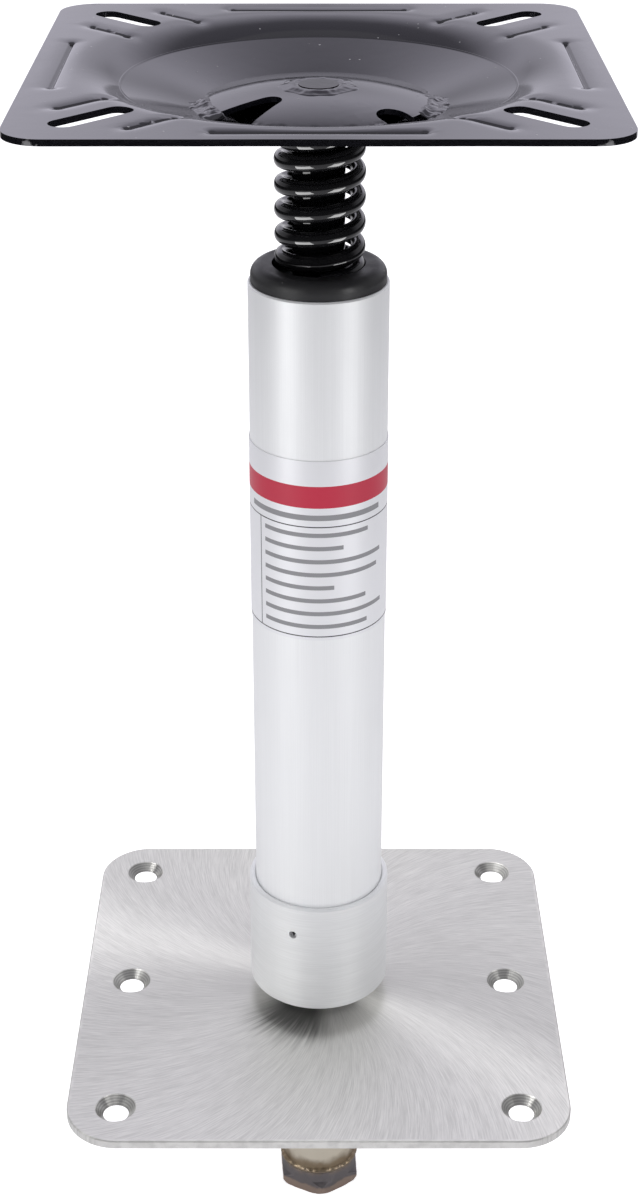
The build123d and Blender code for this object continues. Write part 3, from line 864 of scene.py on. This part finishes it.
# %% [markdown]
# Hub disc and its welds
#
# A shallow domed disc closes the dish round the seat pin. Two notches in its rim are where
# the sheets weren't welded. Thick paint lies over two rough beads and over the ring of weld
# that holds the pin, so these are lumpy. Their sections are spun and then pushed about with
# smooth noise, which gives the same lumps on every run.

# %% Hub disc
hub_reach, hub_sheet, hub_crown = 0.036, 0.0018, 0.0044
hub_edge = seat_top - dish_depth(hub_reach) + hub_sheet
dome_radius = (hub_reach ** 2 + hub_crown ** 2) / (2.0 * hub_crown)


def dome_height(reach):
    """Height of the disc's upper face at a distance from the axis."""
    return hub_edge + hub_crown - dome_radius + sqrt(dome_radius ** 2 - reach ** 2)


hub_rings = [0.00645, 0.009, 0.012, 0.016, 0.020, 0.024, 0.028, 0.031, 0.0332, 0.0345, 0.0354,
             0.036]
disc = turned([(reach, dome_height(reach)) for reach in hub_rings], 300)


def notch(bearing, reach, half_width, flare):
    """Outline of a notch: round at its inner end, open past the disc's rim."""
    tip = Vector((reach, 0.0, 0.0))
    inner = arc(tip, half_width, 90.0 + flare, 270.0 - flare, 12)
    out = 0.045
    spread = inner[0].y + (out - inner[0].x) * tan(radians(flare))
    outline = inner + [Vector((out, -spread, 0.0)), Vector((out, spread, 0.0))]
    return [Matrix.Rotation(radians(bearing), 3, "Z") @ corner for corner in outline]


cut_hole(disc, notch(222.5, 0.0205, 0.0039, 16.0))
cut_hole(disc, notch(314.0, 0.0330, 0.0055, 0.0))
ready_sheet(disc, 0.00005)
for vert in disc.verts:
    reach = vert.co.xy.length
    ragged = noise.noise(vert.co * 420.0) * swell(hub_reach - reach, 0.0022)
    vert.co.x *= 1.0 - 0.008 * abs(ragged)
    vert.co.y *= 1.0 - 0.008 * abs(ragged)
    vert.co.z -= 0.00022 * abs(ragged) + 0.00006 * (0.5 + 0.5 * noise.noise(vert.co * 60.0))
thicken(disc, hub_sheet, edge_round)
hub_disc = finish_piece("hub_disc_domed", disc, "seat", seat_paint, flat_round_angle)
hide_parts("hub_disc")

# %% Pin weld
pin_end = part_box("seat_pin")[1].z
proud_line = [(0.0068, 0.0005), (0.0075, 0.0007), (0.0084, 0.0007), (0.0093, 0.0005),
              (0.0102, 0.0003), (0.0110, 0.0002), (0.0118, 0.0001), (0.0126, -0.0003)]
ring_line = [(0.0064, pin_end - 0.0002)]
ring_line += [(reach, dome_height(reach) + proud) for reach, proud in proud_line]
ring_line += [(0.0122, dome_height(0.0122) - 0.0010), (0.0064, pin_end - 0.0025)]
print("pin end over the disc", round(pin_end - dome_height(0.0064), 5))
ring = turned(ring_line, 144, closed=True)
ready_solid(ring)
for vert in ring.verts:
    reach, bearing = vert.co.xy.length, atan2(vert.co.y, vert.co.x)
    place_on_ring = Vector((cos(bearing), sin(bearing), 0.0))
    wander = noise.noise(place_on_ring * 2.3 + Vector((3.0, 1.0, 0.0)))
    wrinkle = noise.noise(Vector((vert.co.x, vert.co.y, 0.0)) * 520.0)
    outer = min(max((reach - 0.0066) / 0.005, 0.0), 1.0)
    vert.co.x *= 1.0 + 0.10 * outer * wander
    vert.co.y *= 1.0 + 0.10 * outer * wander
    if vert.co.z > dome_height(reach) - 0.0001 and reach > 0.0066:
        vert.co.z += 0.00026 * wrinkle * swell(0.5 - outer, 0.6) + 0.00015 * wander
pin_weld = finish_piece("pin_weld_ring", ring, "seat", seat_paint, 70.0)
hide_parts("pin_weld")


# %% Hub welds
def weld_bead(name, node, first, sweep):
    """A rough bead between the disc's rim and the cone, from one bearing through a sweep."""
    middle = dome_height(0.0352)
    lifts = [(0.0338, -0.0002), (0.0345, 0.0004), (0.0353, 0.0007), (0.0362, 0.0006),
             (0.0371, 0.0002), (0.0380, -0.0001), (0.0389, -0.0004), (0.0398, -0.0004),
             (0.0407, -0.0005), (0.0413, -0.0008), (0.0405, -0.0018), (0.0370, -0.0028),
             (0.0345, -0.0012)]
    section = [(reach, middle + lift) for reach, lift in lifts]
    bead = turned(section, 72, closed=True, start=radians(first), sweep=radians(sweep))
    bmesh.ops.holes_fill(bead, edges=[edge for edge in bead.edges if edge.is_boundary], sides=0)
    ready_solid(bead)
    for vert in bead.verts:
        bearing = (atan2(vert.co.y, vert.co.x) - radians(first)) % tau
        share = min(bearing / radians(sweep), 1.0)
        taper = min(1.0, 5.0 * share, 5.0 * (1.0 - share)) ** 0.5
        lump = noise.noise(vert.co * 330.0) + 0.6 * noise.noise(vert.co * 800.0)
        outward = Vector((vert.co.x, vert.co.y, 0.0)).normalized()
        if vert.co.z > middle - 0.0010:
            vert.co.z += 0.00055 * lump - 0.0011 * (1.0 - taper)
            vert.co += outward * (0.0005 * noise.noise(vert.co * 260.0 + Vector((9.0, 0.0, 0.0))))
    piece = finish_piece(name, bead, "seat", seat_paint, 70.0)
    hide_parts(node)


weld_bead("hub_bead_left", "hub_weld_left", 178.0, 36.0)
weld_bead("hub_bead_right", "hub_weld_right", -30.0, 38.0)

# %% [markdown]
# Coil spring
#
# A wire a little taller than thick is wound at an even rise, with a closer turn at its foot
# and a turn at its head that draws in to the pin. The wire's section is extruded step by step
# along that path, which lets the radius and the rise change on the way. The spring is the one
# piece that gets shorter when the seat goes down. It replaces the CAD one.

# %% Spring
spring_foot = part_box("seat_spring")[0].z
wire_half_width, wire_half_height = 0.00225, 0.0028
coil_radius, head_radius, coil_lean = 0.01255, 0.01095, 0.0004
foot_turns, body_turns, head_turns = 1.0, 4.167, 0.903


def wire_place(turns):
    """Middle of the wire after some turns from its foot."""
    in_body = min(max(turns - foot_turns, 0.0), body_turns)
    in_head = max(turns - foot_turns - body_turns, 0.0)
    height = spring_foot + wire_half_height + 0.0060 * min(turns, foot_turns)
    height += 0.00825 * in_body + 0.0051 * in_head
    drawn = min(2.0 * in_head / head_turns, 1.0)
    drawn_in = drawn ** 2 * (3.0 - 2.0 * drawn)
    reach = coil_radius + (head_radius - coil_radius) * drawn_in
    bearing = radians(-90.0) + tau * turns
    sideways = coil_lean * (1.0 - drawn_in)
    return Vector((sideways + reach * cos(bearing), reach * sin(bearing), height))


def on_wire(turns):
    """The frame of the wire's section: across, up and along, at its place."""
    middle = wire_place(turns)
    along = (wire_place(turns + 0.001) - middle).normalized()
    outward = Vector((middle.x, middle.y, 0.0))
    outward = (outward - along * outward.dot(along)).normalized()
    up = along.cross(outward)
    frame_of_wire = Matrix((outward, up, along)).transposed().to_4x4()
    return Matrix.Translation(middle) @ frame_of_wire


total_turns = foot_turns + body_turns + head_turns
step_count = round(total_turns * 72)
coil = bmesh.new()
previous = on_wire(0.0)
oval = Matrix.Diagonal((wire_half_width, wire_half_height, 1.0, 1.0))
bmesh.ops.create_circle(coil, cap_ends=True, radius=1.0, segments=20, matrix=previous @ oval)
front = list(coil.edges)
for index in range(1, step_count + 1):
    current = on_wire(total_turns * index / step_count)
    grown = bmesh.ops.extrude_edge_only(coil, edges=front)["geom"]
    moved = [item for item in grown if isinstance(item, bmesh.types.BMVert)]
    bmesh.ops.transform(coil, matrix=current @ previous.inverted(), verts=moved)
    front = [item for item in grown if isinstance(item, bmesh.types.BMEdge)
             and all(vert in set(moved) for vert in item.verts)]
    previous = current
bmesh.ops.edgeloop_fill(coil, edges=front)
bmesh.ops.recalc_face_normals(coil, faces=coil.faces)
cut_ends = [edge for edge in coil.edges if max(len(face.verts) for face in edge.link_faces) > 4]
round_edges(coil, cut_ends, 0.0004)
spring = finish_piece("spring_wire", coil, "pedestal", spring_paint)
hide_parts("seat_spring")
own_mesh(spring)

# %% [markdown]
# Weld at the nut
#
# The socket's nut is welded on by hand. The bead is a ring with a ripple for each dab of the
# rod, so a half-round section is spun and its reach and height are waved.

# %% Nut weld
socket_reach = 0.0143
nut_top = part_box("base_nut")[1].z
half_round = [(-0.0003, -0.0012), (0.0006, -0.0008), (0.0009, -0.0002), (0.0009, 0.0004),
              (0.0004, 0.0010), (-0.0003, 0.0014)]
weld_line = [(socket_reach + out, nut_top + lift) for out, lift in half_round]
dabs = turned(weld_line, 240, closed=True)
ready_solid(dabs)
for vert in dabs.verts:
    reach, bearing = vert.co.xy.length, atan2(vert.co.y, vert.co.x)
    proud = min(max((reach - socket_reach) / 0.0009, 0.0), 1.0)
    wander = noise.noise(Vector((cos(bearing), sin(bearing), 0.5)) * 3.0)
    dab = abs(sin(13.0 * bearing + 2.0 * wander))
    vert.co.x *= 1.0 + proud * (0.020 * dab + 0.02 * wander - 0.015)
    vert.co.y *= 1.0 + proud * (0.020 * dab + 0.02 * wander - 0.015)
    vert.co.z += 0.0003 * proud * (dab - 0.5 + wander)
nut_weld = finish_piece("nut_weld_dabs", dabs, "pedestal", socket_steel, 70.0)
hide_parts("nut_weld")

# %% [markdown]
# Socket nut
#
# A hexagon nut is a round bar with six flats. Its chamfers are cones, so each flat ends in a
# curved line. The bar with both cones is spun first, and six cuts then make the flats, which
# gives those curves by itself. The upper cone is blended into the weld.

# %% Socket nut
nut_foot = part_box("base_nut")[0].z
nut_steps = [(0.0120, 0.0), (0.0150, 0.0), (0.0161, 0.0006), (0.0168, 0.0018),
             (0.0168, 0.0041), (0.0159, 0.0047), (0.0151, 0.0056), (0.0147, 0.0075)]
nut_line = [(reach, nut_foot + lift) for reach, lift in nut_steps]
nut_line += [(0.0145, nut_top - 0.0006), (0.0120, nut_top - 0.0006)]
nut = turned(nut_line, 120, closed=True)
nut_flat, nut_bearing = 0.0146, -56.0
for flat in range(6):
    away = Matrix.Rotation(radians(nut_bearing + 60.0 * flat), 3, "Z") @ Vector((1.0, 0.0, 0.0))
    bmesh.ops.bisect_plane(nut, geom=[*nut.verts, *nut.edges, *nut.faces], dist=1e-8,
                           plane_co=away * nut_flat, plane_no=away, clear_outer=True)
    bmesh.ops.holes_fill(nut, edges=[edge for edge in nut.edges if edge.is_boundary], sides=0)
ready_solid(nut)
print("nut faces", len(nut.faces), "open edges", sum(edge.is_boundary for edge in nut.edges))
nut_edges = [edge for edge in nut.edges
             if len(edge.link_faces) == 2 and edge.calc_face_angle() > 0.5]
round_edges(nut, nut_edges, 0.0002)
for vert in nut.verts:
    outward = Vector((vert.co.x, vert.co.y, 0.0)).normalized()
    vert.co -= outward * 0.0003 * abs(noise.noise(vert.co * 260.0))
base_nut = finish_piece("base_nut_flats", nut, "pedestal", socket_steel, 40.0)
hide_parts("base_nut")

# %% [markdown]
# CAD nodes that keep their shape
#
# The plates, tubes, pins and washers are turned, sawn or moulded to clean shapes, and their
# CAD meshes already have those. They aren't touched, and only take a finish.

# %% CAD nodes that keep their shape
kept_finishes = {
    "base_plate": base_steel, "socket_tube": socket_steel, "socket_weld": socket_steel,
    "socket_liner": cap_plastic,
    "post_stub": stub_steel, "foot_plug": collar_aluminium, "foot_collar": collar_aluminium,
    "cross_pin": stub_steel, "post_tube": post_aluminium, "rating_label": label_film,
    "top_bushing": cap_plastic, "thrust_washer": spring_paint, "floor_weld": seat_paint,
    "seat_pin": spring_paint, "pin_washer": stub_steel, "pin_ring": stub_steel}
for name, finish in kept_finishes.items():
    mesh = nodes[name].data
    for index in range(max(1, len(mesh.materials))):
        if mesh.materials:
            mesh.materials[index] = finish
        else:
            mesh.materials.append(finish)
print("kept", len(kept_finishes))

# %% [markdown]
# Which lamp lights what
#
# Black gloss shows each lamp as a mark. The marks on the coils come from two low boxes, and
# those on the pin from two at its sides, so the large boxes leave both out. They leave out the
# seat plate too, which mirrors the room alone. The high box lights the deck plate alone.

# %% Which lamp lights what
for lamp in (low_left, low_right):
    shine(lamp, [spring])
for lamp in (side_left, side_right):
    shine(lamp, [nodes["seat_pin"]])
for lamp in (box_left, box_right):
    shine(lamp, [spring, nodes["seat_pin"], seat_plate], "EXCLUDE")
shine(box_high, [nodes["base_plate"]])

# %% [markdown]
# End
#
# The last cell sets the view transform to Standard.

# %% End
scene.view_settings.view_transform = "Standard"
